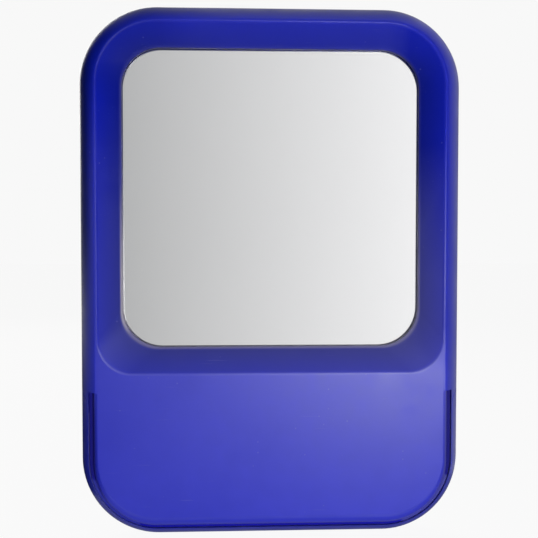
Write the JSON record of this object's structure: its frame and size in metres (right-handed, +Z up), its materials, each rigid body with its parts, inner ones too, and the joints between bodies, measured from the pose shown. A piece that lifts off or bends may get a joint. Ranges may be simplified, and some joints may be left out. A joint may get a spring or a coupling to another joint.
{
  "type": "table mirror",
  "caption": "Upright table mirror: square glass deep in a moulded frame with a flat lower panel and a U-shaped stand that folds flush round its foot.",
  "frame": {"origin": "under the middle of the box, on the surface that the folded mirror stands on", "axes": "+Z up, +X to the right as the mirror is faced, -Y out of the glass"},
  "size_m": [0.195, 0.0216, 0.27],
  "materials": {
    "blue_plastic": "satin gloss, lightly worn",
    "silvered_glass": "silvered float glass",
    "grey_board": "bare board",
    "charcoal_foam": "self-adhesive foam",
    "dark_blue_plastic": "fine moulded texture",
    "plated_steel": "zinc plated",
    "black_rubber": "matt",
    "black_nylon": "black nylon"
  },
  "bodies": {
    "frame": {"front_shell": "blue_plastic", "mirror_pane": "silvered_glass", "backing_board": "grey_board", "foam_strip_top": "charcoal_foam", "foam_strip_bottom": "charcoal_foam", "foam_strip_left": "charcoal_foam", "foam_strip_right": "charcoal_foam", "back_cover": "dark_blue_plastic", "cover_screw_left_upper": "plated_steel", "cover_screw_left_lower": "plated_steel", "cover_screw_top_left": "plated_steel", "cover_screw_foot_left": "plated_steel", "cover_screw_right_upper": "plated_steel", "cover_screw_right_lower": "plated_steel", "cover_screw_top_right": "plated_steel", "cover_screw_foot_right": "plated_steel", "back_pad_upper_left": "black_rubber", "back_pad_lower_left": "black_rubber", "back_pad_upper_right": "black_rubber", "back_pad_lower_right": "black_rubber", "pivot_pin_left": "plated_steel", "pivot_pin_right": "plated_steel", "friction_washer_left": "black_nylon", "friction_washer_right": "black_nylon", "pin_clip_left": "plated_steel", "pin_clip_right": "plated_steel"},
    "stand": {"stand": "blue_plastic"}
  },
  "joints": [
    {"name": "stand_swing", "type": "hinge", "parent": "frame", "child": "stand", "pos_m": [0, 0.00061, 0.06606], "axis": [1, 0, 0], "range_deg": [0, 50]}
  ]
}
